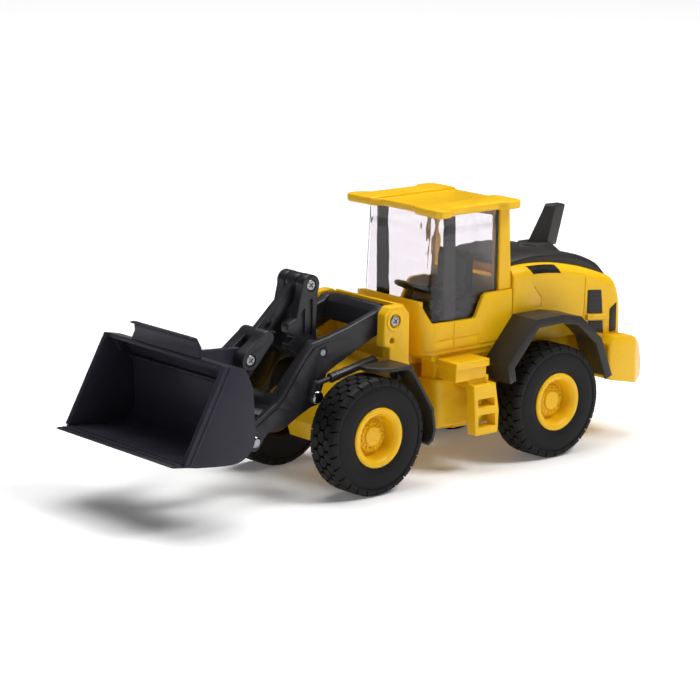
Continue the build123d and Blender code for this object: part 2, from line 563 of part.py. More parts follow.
# ---------------------------------------------------------------- lift cylinders
def cylinder_axis():
    """Unit vector of the lift cylinder's axis, from its tail to its mouth."""
    dx, dz = BARREL_MOUTH[0] - BARREL_TAIL[0], BARREL_MOUTH[1] - BARREL_TAIL[1]
    length = hypot(dx, dz)
    return dx / length, dz / length


def along_cylinder(start, end, radius):
    """Cylinder on the lift axis between two distances from the barrel's mouth, negative towards the tail."""
    ux, uz = cylinder_axis()
    middle = (start + end) / 2
    place = Pos(BARREL_MOUTH[0] + ux * middle, LIFT_CENTRE_Y, BARREL_MOUTH[1] + uz * middle)
    tilt = degrees(atan2(ux, uz))
    return place * Rot(0, tilt, 0) * Cylinder(radius, end - start)


def lift_barrel():
    """Left lift cylinder barrel: a tube with a collar at its mouth, closed at the tail."""
    body = along_cylinder(-22.4, 0.0, BARREL_RADIUS - 0.15) + along_cylinder(-4.2, 0.0, BARREL_RADIUS)
    return body - along_cylinder(-20.6, 1.0, ROD_RADIUS + RUNNING_GAP)


def lift_rod():
    """Left lift rod, with a cranked eye below its front end that turns on the boom's pin."""
    ux, uz = cylinder_axis()
    reach = 6.3
    front = (BARREL_MOUTH[0] + ux * reach, BARREL_MOUTH[1] + uz * reach)
    rod = along_cylinder(-14.5, reach, ROD_RADIUS)
    crank = strap(LIFT_PIN, front, 2.6, 1.4, 16.75, 18.9, rim=0.3)
    return rod + crank - shaft(LIFT_PIN, 1.2 + RUNNING_GAP, 15.0, 20.0)


# ---------------------------------------------------------------- tilt lever and link
def lever_half():
    """Left half of the tilt lever, split on the centre plane, with ribs and front hooks."""
    side = [(6.6, 76.0), (7.6, 62.0), (7.3, 52.4), (15.7, 50.6, 0.8), (19.2, 53.2, 0.8), (20.7, 55.2, 0.5),
            (17.4, 57.6, 0.8), (20.8, 59.4, 0.8), (21.0, 62.6, 0.8), (17.0, 64.4, 1.0), (14.2, 76.0)]
    plate = slab(side, 3.4, 7.5, rim=0.4)
    top = shaft(LEVER_TOP, 3.9, 3.4, 7.6)
    foot = shaft(LEVER_PIVOT, 4.1, 0.05, 7.6)
    groove = slab([(9.4, 71.0), (9.4, 57.4), (11.6, 57.4), (11.6, 71.0)], 6.6, 8.0)
    groove += slab([(13.0, 68.0), (13.0, 58.4), (15.2, 58.4), (15.2, 66.0)], 6.6, 8.0)
    body = plate + top + foot - groove
    body -= shaft(LEVER_TOP, SCREW_RADIUS, 0.0, 9.0)
    return body - shaft(LEVER_PIVOT, 1.15 + RUNNING_GAP, 0.0, 9.0)


def lever_left():
    """Near half, with the recess that takes the lever screw's head."""
    return lever_half() - shaft(LEVER_TOP, SCREW_HEAD_RADIUS + 0.3, 6.7, 9.0)


def lever_screw():
    """Screw through the lever's two halves, which carries the link's rear eye."""
    return cross_screw(LEVER_TOP, -7.0, 7.7, head_height=1.0)


def tilt_link():
    """Link from the lever to the bucket: a rear eye, a flat bar and a front fork with two barrels."""
    span = hypot(LINK_FRONT[0] - LEVER_TOP[0], LINK_FRONT[1] - LEVER_TOP[1])
    ux, uz = (LINK_FRONT[0] - LEVER_TOP[0]) / span, (LINK_FRONT[1] - LEVER_TOP[1]) / span
    neck = (LINK_FRONT[0] - ux * 10.5, LINK_FRONT[1] - uz * 10.5)
    shank = strap(LEVER_TOP, neck, 2.9, 2.9, -1.5, 1.5, rim=0.4)
    eye = shaft(LEVER_TOP, 3.8, -2.9, 2.9)
    head = strap(neck, (neck[0] + ux * 1.4, neck[1] + uz * 1.4), 3.0, 3.0, -7.1, 7.1, rim=0.5)
    prong = strap(neck, LINK_FRONT, 2.8, 3.9, 1.8, 7.1, rim=0.4)
    body = shank + eye + head + both_sides(prong)
    slot_rear = (neck[0] - ux * 6.5, neck[1] - uz * 6.5)
    slot_front = (neck[0] - ux * 4.6, neck[1] - uz * 4.6)
    body -= strap(slot_rear, slot_front, 1.1, 1.1, -3.0, 3.0)
    body -= shaft(LEVER_TOP, SCREW_RADIUS + 1.1, -4.0, 4.0)
    body -= shaft(LINK_FRONT, SCREW_RADIUS + RUNNING_GAP, -9.0, 9.0)
    return body - shaft(LINK_FRONT, SCREW_HEAD_RADIUS + 0.3, 6.2, 9.0)


# ---------------------------------------------------------------- bucket
BUCKET_BACK = [(71.4, 59.2), (63.4, 57.2), (61.0, 53.6), (59.3, 49.0), (58.6, 40.0), (58.2, 31.6), (59.6, 27.8),
               (62.9, 24.8), (69.0, 23.5), (84.0, 24.9)]
BUCKET_SIDE = BUCKET_BACK + [(89.4, 26.0), (88.6, 28.4), (72.0, 59.2)]
BUCKET_HALF_WIDTH = 35.9


def bucket_shell():
    """Bucket: a bent plate, two side plates with a thicker front edge, and stiffening ridges."""
    wall = 1.5
    sheet = slab(ribbon(BUCKET_BACK, -wall), -BUCKET_HALF_WIDTH + 1.0, BUCKET_HALF_WIDTH - 1.0)
    side = slab(BUCKET_SIDE, BUCKET_HALF_WIDTH - 1.5, BUCKET_HALF_WIDTH, rim=0.3)
    edge_band = slab([(71.9, 59.2), (89.4, 27.4), (86.2, 26.0), (68.6, 58.6)],
                     BUCKET_HALF_WIDTH - 0.8, BUCKET_HALF_WIDTH + 0.5, rim=0.25)
    ridges = Part()
    for u, v in ((62.6, 54.4), (61.0, 49.6)):
        ridge = [(u - 0.4, v + 1.0), (u + 1.5, v + 0.4, 0.4), (u + 1.1, v - 0.9, 0.4), (u - 0.8, v - 1.0)]
        ridges += slab(ridge, -34.5, 34.5)
    return sheet + both_sides(side + edge_band) + ridges


def cutting_edge():
    """Lip plate across the front of the bucket's floor, with two raised lines."""
    lip = slab([(84.0, 24.9), (94.2, 26.3), (94.2, 27.0), (83.88, 26.4)], -35.0, 35.0)
    lip += slab([(88.0, 26.4), (88.9, 26.5), (88.8, 27.1), (87.9, 27.0)], -34.2, 34.2)
    return lip - both_sides(slab(BUCKET_SIDE, BUCKET_HALF_WIDTH - 1.5, BUCKET_HALF_WIDTH + 2.0))


def spill_guard():
    """Guard plate standing on the bucket's top edge, curled forward along its top."""
    plate = slab(ribbon([(71.2, 59.0), (70.4, 62.6), (71.2, 65.0), (73.4, 66.0)], -1.2), -20.4, 20.4)
    front_view = [(-20.4, 58.0), (20.4, 58.0), (20.4, 59.6), (18.0, 66.4), (-18.0, 66.4), (-20.4, 59.6)]
    taper = Pos(60.0, 0, 0) * extrude(Plane.YZ * face_of(front_view), amount=20.0)
    return (plate & taper) - bucket_envelope()


def bucket_envelope():
    """Space filled by the bucket's bent plate."""
    return slab(ribbon(BUCKET_BACK, -1.5), -BUCKET_HALF_WIDTH, BUCKET_HALF_WIDTH)


def bucket_lugs():
    """Bracket on the bucket's back: one central lug for the link and two lower lugs for the boom."""
    centre = slab([(64.0, 57.2), (50.0, 56.0, 2.0), (37.7, 55.3, 3.6), (33.7, 51.4, 3.6), (37.7, 47.4, 3.6),
                   (48.0, 42.0, 2.0), (58.9, 36.0), (59.4, 50.0)], -1.4, 1.4, rim=0.3)
    lower = slab([(59.0, 42.0), (50.0, 36.0, 2.0), (40.0, 28.4, 3.0), (38.8, 23.0, 3.0), (43.0, 19.8, 3.4),
                  (52.0, 20.8, 2.0), (62.0, 25.6), (58.6, 32.0)], 9.9, 12.9, rim=0.3)
    back = bar(57.2, 59.2, -13.2, 13.2, 33.0, 40.0)
    body = centre + both_sides(lower) + back - bucket_fill()
    body -= shaft(LINK_FRONT, SCREW_RADIUS, -3.0, 3.0)
    return body - both_sides(shaft(BUCKET_PIVOT, 1.5 + RUNNING_GAP, 8.0, 14.0))


def bucket_fill():
    """The bucket's outer shape, with its inside filled."""
    return slab(BUCKET_BACK + [(90.0, 60.0)], -40.0, 40.0)


def link_screw():
    """Screw through the link's fork and the bucket's central lug."""
    return cross_screw(LINK_FRONT, -6.6, 7.0, head_height=0.7)


# ---------------------------------------------------------------- write the parts
def save(name, shape):
    """Write one sub-part, moved so that the origin is at the middle of the loader's length."""
    export_step(Pos(ORIGIN_SHIFT, 0, 0) * shape, f"parts/{name}.step")


def pair(name, shape):
    """Write a left piece and its mirror image."""
    save(f"{name}_left", shape)
    save(f"{name}_right", mirrored(shape))


os.makedirs("parts", exist_ok=True)

for place, axle_x in (("front", 0.0), ("rear", -WHEELBASE)):
    pair(f"{place}_tyre", tyre(axle_x))
    pair(f"{place}_rim", rim(axle_x))
    save(f"{place}_axle", axle_rod(axle_x))

save("rear_chassis", rear_chassis())
save("articulation_pin", articulation_pin())
save("cab_tub", cab_tub())
save("cab_skirt", cab_skirt())
save("cab_interior", cab_interior())
save("seat", seat())
save("steering_wheel", steering_wheel())
save("cab_glazing", cab_glazing())
pair("door_pillar", door_pillars())
save("cab_rear_frame", cab_rear_frame())
save("cab_roof", cab_roof())
save("hood", hood())
save("hood_top", hood_top())
save("intake_fin", intake_fin())
save("side_vents", side_vents())
save("vent_bars", vent_bars())
save("side_plates", side_plates())
save("counterweight", counterweight())
save("rear_grille", rear_grille())
pair("rear_fender", rear_fender())
pair("step_ladder", step_ladder())
save("chassis_screws", chassis_screws())

save("front_chassis", front_chassis())
pair("front_fender", front_fender())
pair("boom_screw", boom_screw())

save("boom", boom())
save("lever_pin", lever_pin())
save("lift_pins", lift_pins())
save("bucket_pins", bucket_pins())
pair("lift_rod", lift_rod())
pair("lift_barrel", lift_barrel())

save("lever_left", lever_left())
save("lever_right", mirrored(lever_half()))
save("lever_screw", lever_screw())
save("tilt_link", tilt_link())

save("bucket_shell", bucket_shell())
save("cutting_edge", cutting_edge())
save("spill_guard", spill_guard())
save("bucket_lugs", bucket_lugs())
save("link_screw", link_screw())
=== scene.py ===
"""Toy front loader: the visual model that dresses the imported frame.

Lengths are written in millimetres with X = 0 at the front axle, and place() turns them into the frame's
metres.
"""
import json
import math
import bmesh
import bpy
from mathutils import Matrix, Vector, noise

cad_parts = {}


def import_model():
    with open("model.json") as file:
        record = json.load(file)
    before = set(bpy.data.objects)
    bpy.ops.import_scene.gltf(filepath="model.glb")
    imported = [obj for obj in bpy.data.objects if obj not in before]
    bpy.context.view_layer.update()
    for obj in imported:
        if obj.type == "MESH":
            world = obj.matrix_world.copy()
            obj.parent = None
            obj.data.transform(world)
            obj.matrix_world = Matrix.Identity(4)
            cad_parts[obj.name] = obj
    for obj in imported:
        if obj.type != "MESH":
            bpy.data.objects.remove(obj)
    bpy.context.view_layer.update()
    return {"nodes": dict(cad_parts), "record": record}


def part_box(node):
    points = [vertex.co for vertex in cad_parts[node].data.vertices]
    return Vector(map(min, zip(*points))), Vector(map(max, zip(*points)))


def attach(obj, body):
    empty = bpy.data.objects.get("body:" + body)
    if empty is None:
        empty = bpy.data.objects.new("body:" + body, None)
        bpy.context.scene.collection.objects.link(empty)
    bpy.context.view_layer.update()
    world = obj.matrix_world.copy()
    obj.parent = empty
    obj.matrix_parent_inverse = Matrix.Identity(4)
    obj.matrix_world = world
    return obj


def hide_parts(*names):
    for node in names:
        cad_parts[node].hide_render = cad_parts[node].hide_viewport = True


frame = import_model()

MM = 0.001
AXLE_LOW, AXLE_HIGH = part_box("front_axle")
AXLE_X = (AXLE_LOW[0] + AXLE_HIGH[0]) / 2       # front axle in the frame, metres
REAR_LOW, REAR_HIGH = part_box("rear_axle")
WHEELBASE = (AXLE_LOW[0] - REAR_LOW[0]) / MM
TYRE_LOW, TYRE_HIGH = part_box("front_tyre_left")
TYRE_RADIUS = (TYRE_HIGH[2] - TYRE_LOW[2]) / 2 / MM
TYRE_INNER = TYRE_LOW[1] / MM
TYRE_OUTER = TYRE_HIGH[1] / MM
RIM_RADIUS = 11.3
BODY_HALF_WIDTH = 22.0
ARM_OUTER_Y = 16.3
SHARP_ANGLE = 38.0              # degrees; edges sharper than this stay crisp
SHORTEST = 1e-4                 # a corner arc shorter than this is left out, mm
SAME_SPOT = 2e-6                # corners closer than this are one corner, metres


def place(x, y, z):
    """A point in millimetres from the front axle's middle, as a frame point in metres."""
    return Vector((AXLE_X + x * MM, y * MM, z * MM))


# ---------------------------------------------------------------- materials
def shader(name):
    """New node material: the material, its node tree and its Principled shader."""
    material = bpy.data.materials.new(name)
    material.use_nodes = True
    tree = material.node_tree
    return material, tree, tree.nodes["Principled BSDF"]


def texture(tree, scale, detail=3.0, distortion=0.0):
    """Noise texture in object coordinates, which are metres here."""
    coordinates = tree.nodes.new("ShaderNodeTexCoord")
    node = tree.nodes.new("ShaderNodeTexNoise")
    node.inputs["Scale"].default_value = scale
    node.inputs["Detail"].default_value = detail
    node.inputs["Distortion"].default_value = distortion
    tree.links.new(coordinates.outputs["Object"], node.inputs["Vector"])
    return node


def spread(tree, source, low, high):
    """Map a noise factor to the range low..high."""
    node = tree.nodes.new("ShaderNodeMapRange")
    node.inputs["From Min"].default_value = 0.3
    node.inputs["From Max"].default_value = 0.7
    node.inputs["To Min"].default_value = low
    node.inputs["To Max"].default_value = high
    tree.links.new(source.outputs["Fac"], node.inputs["Value"])
    return node


def ramp(tree, source, dark, light):
    """Colour between dark and light, driven by a noise factor."""
    node = tree.nodes.new("ShaderNodeValToRGB")
    node.color_ramp.elements[0].position = 0.3
    node.color_ramp.elements[1].position = 0.7
    node.color_ramp.elements[0].color = (*dark, 1.0)
    node.color_ramp.elements[1].color = (*light, 1.0)
    tree.links.new(source.outputs["Fac"], node.inputs["Fac"])
    return node


def bump(tree, source, target, strength, distance):
    """Fine surface relief from a noise factor."""
    node = tree.nodes.new("ShaderNodeBump")
    node.inputs["Strength"].default_value = strength
    node.inputs["Distance"].default_value = distance
    tree.links.new(source.outputs["Fac"], node.inputs["Height"])
    tree.links.new(node.outputs["Normal"], target.inputs["Normal"])


def moulded(name, dark, light, rough, gloss, grain=2500.0, relief=0.08, glow=0.0):
    """Injection-moulded plastic: a little uneven in tone and gloss, with a faint grain."""
    material, tree, principled = shader(name)
    cloud = texture(tree, 55.0, 2.0)
    fine = texture(tree, grain, 2.0)
    polish = spread(tree, cloud, rough - 0.05, rough + 0.06)
    tree.links.new(ramp(tree, cloud, dark, light).outputs["Color"], principled.inputs["Base Color"])
    tree.links.new(polish.outputs["Result"], principled.inputs["Roughness"])
    principled.inputs["Subsurface Weight"].default_value = glow
    principled.inputs["Subsurface Radius"].default_value = (1.0, 0.5, 0.1)
    principled.inputs["Subsurface Scale"].default_value = 0.0012
    principled.inputs["Specular IOR Level"].default_value = gloss
    bump(tree, fine, principled, relief, 0.00004)
    return material


def metal(name, tone, rough, relief):
    """Bare metal with fine uneven polish."""
    material, tree, principled = shader(name)
    fine = texture(tree, 1800.0, 3.0)
    polish = spread(tree, fine, rough - 0.04, rough + 0.06)
    shades = ramp(tree, fine, tuple(c * 0.85 for c in tone), tone)
    principled.inputs["Metallic"].default_value = 1.0
    tree.links.new(shades.outputs["Color"], principled.inputs["Base Color"])
    tree.links.new(polish.outputs["Result"], principled.inputs["Roughness"])
    bump(tree, fine, principled, relief, 0.00003)
    return material


def clear_plastic():
    """Clear styrene: slightly wavy, so that what is behind it bends a little."""
    material, tree, principled = shader("clear styrene")
    wave = texture(tree, 170.0, 1.0, 0.3)
    principled.inputs["Base Color"].default_value = (0.87, 0.84, 0.865, 1.0)
    principled.inputs["Transmission Weight"].default_value = 1.0
    principled.inputs["IOR"].default_value = 1.34
    principled.inputs["Roughness"].default_value = 0.015
    bump(tree, wave, principled, 0.25, 0.0003)
    return material


YELLOW = moulded("yellow plastic", (0.79, 0.448, 0.005), (0.85, 0.500, 0.008), 0.32, gloss=0.28, glow=0.12)
CHARCOAL = moulded("charcoal plastic", (0.014, 0.0135, 0.016), (0.020, 0.019, 0.023), 0.36,
                   gloss=0.42, relief=0.12)
BUCKET_GREY = moulded("bucket plastic", (0.023, 0.0215, 0.030), (0.031, 0.0285, 0.040), 0.38,
                      gloss=0.15, relief=0.12)
BROWN_GREY = moulded("warm grey plastic", (0.022, 0.0205, 0.0185), (0.029, 0.027, 0.0245), 0.42,
                     gloss=0.26, relief=0.15)
BLACK = moulded("black plastic", (0.006, 0.006, 0.006), (0.010, 0.010, 0.010), 0.42, gloss=0.30)
RUBBER = moulded("tyre rubber", (0.007, 0.007, 0.0075), (0.011, 0.011, 0.0115), 0.55,
                 gloss=0.16, grain=900.0, relief=0.25)
PLATE = moulded("dark badge plate", (0.012, 0.012, 0.013), (0.018, 0.018, 0.019), 0.25, gloss=0.5)
STEEL = metal("zinc steel", (0.36, 0.37, 0.38), 0.34, 0.15)
CHROME = metal("polished rivet", (0.30, 0.30, 0.33), 0.12, 0.05)
CLEAR = clear_plastic()

FINISH = {
    "yellow_plastic": YELLOW,
    "charcoal_plastic": CHARCOAL,
    "brown_grey_plastic": BROWN_GREY,
    "interior_black": BLACK,
    "clear_glazing": CLEAR,
    "tyre_rubber": RUBBER,
    "steel": STEEL,
    "chrome": CHROME,
}
SLOT_OF = {row["node"]: row["material_slot"] for row in frame["record"]["subparts"]}
BODY_OF = {node: body for body, nodes in frame["record"]["behaviour"]["bodies"].items() for node in nodes}


# ---------------------------------------------------------------- mesh helpers
def shade(mesh, angle=SHARP_ANGLE):
    """Smooth shading, broken at edges sharper than angle degrees."""
    mesh.polygons.foreach_set("use_smooth", [True] * len(mesh.polygons))
    mesh.set_sharp_from_angle(angle=math.radians(angle))


def linked(name, data):
    """New object with this mesh, light or camera, in the scene."""
    obj = bpy.data.objects.new(name, data)
    bpy.context.scene.collection.objects.link(obj)
    return obj


def coat(mesh, material):
    """Give a mesh this one material."""
    mesh.materials.clear()
    mesh.materials.append(material)


def piece(name, mesh, node, material=None):
    """New visible piece that stands for a CAD node, rides its body and takes its finish."""
    obj = linked(name, mesh)
    coat(mesh, material or FINISH[SLOT_OF[node]])
    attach(obj, BODY_OF[node])
    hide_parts(node)


def extra(name, mesh, body, material):
    """New visible piece that has no CAD node of its own."""
    obj = linked(name, mesh)
    coat(mesh, material)
    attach(obj, body)


def mesh_of(name, bm, angle=SHARP_ANGLE):
    """Mesh from a bmesh that is written in millimetres from the front axle."""
    bmesh.ops.recalc_face_normals(bm, faces=bm.faces)
    for vertex in bm.verts:
        vertex.co = place(*vertex.co)
    mesh = bpy.data.meshes.new(name)
    bm.to_mesh(mesh)
    bm.free()
    shade(mesh, angle)
    return mesh


def bridge(bm, low, high):
    """Band of faces between two closed rings of as many corners."""
    count = len(low)
    for index in range(count):
        after = (index + 1) % count
        bm.faces.new((low[index], low[after], high[after], high[index]))


def add_prism(bm, outline, y_low, y_high):
    """Side-view outline (x, z) carried across Y, as a closed solid in bm."""
    low = [bm.verts.new((x, y_low, z)) for x, z in outline]
    high = [bm.verts.new((x, y_high, z)) for x, z in outline]
    bm.faces.new(low)
    bm.faces.new(list(reversed(high)))
    count = len(outline)
    for index in range(count):
        after = (index + 1) % count
        bm.faces.new((low[index], high[index], high[after], low[after]))


def add_lathe(bm, profile, centre, steps, side=1.0):
    """Closed profile (radius, y) turned round an axis along Y at centre (x, z)."""
    rings = []
    for step in range(steps):
        angle = 2 * math.pi * step / steps
        ring = [bm.verts.new((centre[0] + r * math.cos(angle), side * y, centre[1] + r * math.sin(angle)))
                for r, y in profile]
        rings.append(ring)
    for ring, after in zip(rings, rings[1:] + rings[:1]):
        bridge(bm, ring, after)


def side_prism(bm, outline, side, near, far):
    """Prism from near to far, measured from the middle plane, on one side of the machine."""
    add_prism(bm, outline, *sorted((side * near, side * far)))


def rounded(outline, radius, steps=4):
    """Outline with its corners replaced by arcs; radius is one number or one per corner."""
    result = []
    count = len(outline)
    radii = radius if isinstance(radius, (list, tuple)) else [radius] * count
    for index in range(count):
        here = Vector(outline[index])
        before = Vector(outline[index - 1]) - here
        after = Vector(outline[(index + 1) % count]) - here
        reach = min(radii[index], before.length * 0.45, after.length * 0.45)
        if reach < SHORTEST:
            result.append(tuple(here))
            continue
        start, end = here + before.normalized() * reach, here + after.normalized() * reach
        for step in range(steps + 1):
            t = step / steps
            result.append(tuple(start * (1 - t) ** 2 + here * 2 * t * (1 - t) + end * t * t))
    return result


def bevelled(mesh, width, segments=2, angle=32.0, cutters=()):
    """Mesh with the cutters taken out of it and its sharp edges rounded by width millimetres."""
    helper = linked("helper", mesh)
    tools = [linked("cutter", cutter) for cutter in cutters]
    for tool in tools:
        cut = helper.modifiers.new("cut", "BOOLEAN")
        cut.operation = "DIFFERENCE"
        cut.solver = "EXACT"
        cut.use_self = True
        cut.object = tool
    if width:
        edge = helper.modifiers.new("edge", "BEVEL")
        edge.width = width * MM
        edge.segments = segments
        edge.limit_method = "ANGLE"
        edge.angle_limit = math.radians(angle)
        edge.harden_normals = False
        edge.use_clamp_overlap = True
    graph = bpy.context.evaluated_depsgraph_get()
    result = bpy.data.meshes.new_from_object(helper.evaluated_get(graph))
    for thing in [helper] + tools:
        bpy.data.objects.remove(thing)
    shade(result)
    return result


def tidied(mesh, flat_angle=0.0):
    """The same mesh with split corners joined and, within flat_angle degrees, its flat faces too."""
    bm = bmesh.new()
    bm.from_mesh(mesh)
    bmesh.ops.remove_doubles(bm, verts=bm.verts, dist=SAME_SPOT)
    if flat_angle:
        bmesh.ops.dissolve_limit(bm, angle_limit=math.radians(flat_angle), verts=bm.verts, edges=bm.edges)
    bmesh.ops.recalc_face_normals(bm, faces=bm.faces)
    bm.to_mesh(mesh)
    bm.free()
    return mesh


def dress(node, width, material=None, cutters=()):
    """Moulded version of a CAD node: edges rounded by width millimetres, with grooves cut into it."""
    mesh = tidied(frame["nodes"][node].data.copy())
    if cutters:
        mesh = bevelled(mesh, 0.0, cutters=cutters)
    mesh = bevelled(tidied(mesh, flat_angle=0.6), width)
    piece(f"{node}_look", mesh, node, material)


def groove(path, y, width=0.35, depth=0.3):
    """Cutter for a narrow groove along a side-view path, in the face at y."""
    bm = bmesh.new()
    for (x0, z0), (x1, z1) in zip(path, path[1:]):
        run = math.hypot(x1 - x0, z1 - z0)
        ux, uz = (x1 - x0) / run, (z1 - z0) / run
        nx, nz = -uz * width / 2, ux * width / 2
        ex, ez = ux * width / 2, uz * width / 2
        outline = [(x0 - ex + nx, z0 - ez + nz), (x1 + ex + nx, z1 + ez + nz),
                   (x1 + ex - nx, z1 + ez - nz), (x0 - ex - nx, z0 - ez - nz)]
        low, high = sorted((y - math.copysign(depth, y), y + math.copysign(1.0, y)))
        add_prism(bm, outline, low, high)
    return mesh_of("groove", bm)


def grooves(path, y, width=0.35, depth=0.3):
    """The same groove on both sides."""
    return [groove(path, y, width, depth), groove(path, -y, width, depth)]


# ---------------------------------------------------------------- wheels
TREAD_PITCHES = 28
TREAD_DEPTH = 1.2
HEX_ROW = 3.15                  # spacing of the block rows across the tread
HEX_ALONG = 4.35
HEX_ACROSS = 3.7
TYRE_STEPS = 128
RIM_STEPS = 96
RIM_BOLTS = 16
BOLT_CIRCLE = 4.85
BOLT_STEPS = 12
# (radius, how far inside the tyre's outer face), from the hub's inner end round the ring to the cap
RIM_PROFILE = [
    (1.5, 12.5), (4.2, 12.5), (4.2, 9.0), (10.2, 9.0), (10.2, 1.3), (11.2, 1.0), (11.3, 0.6),
    (11.25, 0.25), (11.0, 0.02), (10.5, -0.09), (9.9, -0.09), (9.3, 0.05), (8.9, 0.35), (8.75, 0.6),
    (8.6, 0.85), (8.35, 1.1), (8.05, 2.6), (7.8, 5.0), (7.5, 5.5), (6.9, 5.65), (6.3, 5.5), (6.1, 4.6),
    (5.95, 4.25), (5.7, 4.12), (3.9, 4.0), (3.75, 3.9), (3.65, 3.4), (3.5, 3.24), (3.3, 3.2),
    (0.01, 3.16), (0.01, 6.0), (1.5, 6.0)]
BOLT_PROFILE = [(0.01, 4.3), (0.5, 4.3), (0.5, 3.85), (0.42, 3.66), (0.25, 3.55), (0.01, 3.5)]


def add_block(bm, centre, side, corners, floor, top, shrink=0.93):
    """Tread block: corners (arc mm, y) raised from radius floor to radius top, a little smaller on top."""
    mid_arc = sum(c[0] for c in corners) / len(corners)
    mid_y = sum(c[1] for c in corners) / len(corners)
    rings = []
    for radius, scale in ((floor, 1.0), (top - 0.2, shrink + 0.02), (top, shrink - 0.05)):
        ring = []
        for arc, y in corners:
            angle = (mid_arc + (arc - mid_arc) * scale) / TYRE_RADIUS
            across = mid_y + (y - mid_y) * scale
            ring.append(bm.verts.new((centre[0] + radius * math.cos(angle), side * across,
                                      centre[1] + radius * math.sin(angle))))
        rings.append(ring)
    for low, high in zip(rings, rings[1:]):
        bridge(bm, low, high)
    bm.faces.new(rings[-1])
    bm.faces.new(list(reversed(rings[0])))


def add_lug(bm, centre, side, middle, direction, start, pitch):
    """Shoulder lug: a loft from the tread over the shoulder, narrowing to a low rib on the sidewall."""
    half = (TYRE_OUTER - TYRE_INNER) / 2
    tread = TYRE_RADIUS
    # radius, distance from the tyre's middle, half width and slant in pitches, thickness
    stations = [(tread - 0.02, half - 2.75, 0.40, 0.00, 1.3), (tread - 0.02, half - 1.5, 0.42, 0.05, 1.3),
                (tread - 0.55, half - 0.55, 0.43, 0.12, 1.1), (tread - 1.4, half - 0.12, 0.45, 0.16, 0.7),
                (tread - 2.5, half - 0.03, 0.475, 0.19, 0.3)]
    rings = []
    for radius, across, width, slant, thick in stations:
        ring = []
        for offset, sink in ((-width, 0.0), (width, 0.0), (width + 0.04, thick), (-width - 0.04, thick)):
            angle = start + (offset + slant * direction) * pitch
            deep = radius - sink
            y = middle + direction * (across - sink * 0.45)
            ring.append(bm.verts.new((centre[0] + deep * math.cos(angle), side * y,
                                      centre[1] + deep * math.sin(angle))))
        rings.append(ring)
    for low, high in zip(rings, rings[1:]):
        bridge(bm, low, high)
    bm.faces.new(list(reversed(rings[0])))
    bm.faces.new(rings[-1])


def tyre(axle, axle_x, side_name):
    """Tyre with a smooth sidewall, three rows of hexagonal blocks and a lug on each shoulder."""
    side = 1.0 if side_name == "left" else -1.0
    centre = (axle_x, TYRE_RADIUS)
    inner, outer, floor = TYRE_INNER, TYRE_OUTER, TYRE_RADIUS - TREAD_DEPTH
    bead = RIM_RADIUS
    profile = [(bead - 1.0, inner + 0.4), (bead - 1.0, outer - 1.4), (bead + 0.05, outer - 1.4),
               (bead + 0.1, outer - 0.5), (bead + 0.7, outer - 0.34), (bead + 1.1, outer - 0.30),
               (bead + 1.5, outer - 0.12), (bead + 3.2, outer - 0.03), (floor - 4.0, outer - 0.03),
               (floor - 2.0, outer - 0.22), (floor - 1.0, outer - 0.7), (floor - 0.35, outer - 1.7),
               (floor, outer - 3.2), (floor, inner + 3.2), (floor - 0.35, inner + 1.7),
               (floor - 1.0, inner + 0.7), (floor - 2.0, inner + 0.22), (floor - 4.0, inner + 0.03),
               (bead + 3.2, inner + 0.03)]
    bm = bmesh.new()
    add_lathe(bm, profile, centre, TYRE_STEPS, side)
    middle = (inner + outer) / 2
    pitch = 2 * math.pi / TREAD_PITCHES
    arc = pitch * TYRE_RADIUS
    flat, point = HEX_ALONG / 2, HEX_ACROSS / 2
    hexagon = [(-flat, -point * 0.42), (-flat, point * 0.42), (-flat * 0.45, point * 0.9), (0.0, point),
               (flat * 0.45, point * 0.9), (flat, point * 0.42), (flat, -point * 0.42),
               (flat * 0.45, -point * 0.9), (0.0, -point), (-flat * 0.45, -point * 0.9)]
    for step in range(TREAD_PITCHES):
        for row in (-1, 0, 1):
            shift = (step + (0.5 if row == 0 else 0.0)) * arc
            corners = [(a + shift, y + middle + row * HEX_ROW) for a, y in hexagon]
            add_block(bm, centre, side, corners, floor - 0.15, TYRE_RADIUS - 0.02)
        for direction in (-1, 1):
            add_lug(bm, centre, side, middle, direction, (step + 0.5) * pitch, pitch)
    node = f"{axle}_tyre_{side_name}"
    piece(f"{node}_look", mesh_of(node, bm, angle=34.0), node)


def rim(axle, axle_x, side_name):
    """Rim: rounded outer ring, deep dish, a ring of bolts and a flat cap."""
    side = 1.0 if side_name == "left" else -1.0
    centre = (axle_x, TYRE_RADIUS)
    ring = [(radius, TYRE_OUTER - depth) for radius, depth in RIM_PROFILE]
    bolt = [(radius, TYRE_OUTER - depth) for radius, depth in BOLT_PROFILE]
    bm = bmesh.new()
    add_lathe(bm, ring, centre, RIM_STEPS, side)
    for index in range(RIM_BOLTS):
        angle = 2 * math.pi * (index + 0.5) / RIM_BOLTS
        middle = (centre[0] + BOLT_CIRCLE * math.cos(angle), centre[1] + BOLT_CIRCLE * math.sin(angle))
        add_lathe(bm, bolt, middle, BOLT_STEPS, side)
    node = f"{axle}_rim_{side_name}"
    piece(f"{node}_look", mesh_of(node, bm, angle=40.0), node)


# ---------------------------------------------------------------- cab
GLASS_HALF_WIDTH = 20.2
GLASS_FRONT = -36.9
GLASS_REAR = -71.4
GLASS_BOTTOM = 52.0
GLASS_TOP = 98.15
GLASS_LEAN = 3.1                # how far the windscreen leans back over its height
GLASS_SPREAD = 0.45             # how much wider each side is at the top
GLASS_THICK = 0.9
GLASS_CORNER = 4.0              # radius of the front corners
GLASS_REAR_CORNER = 1.2
GLASS_SPACING = 1.4             # between points along a straight run
GLASS_LEVELS = 40
BAND_HEIGHT = 93.5              # middle of the thicker wavy band
BAND_SPREAD = 1.8


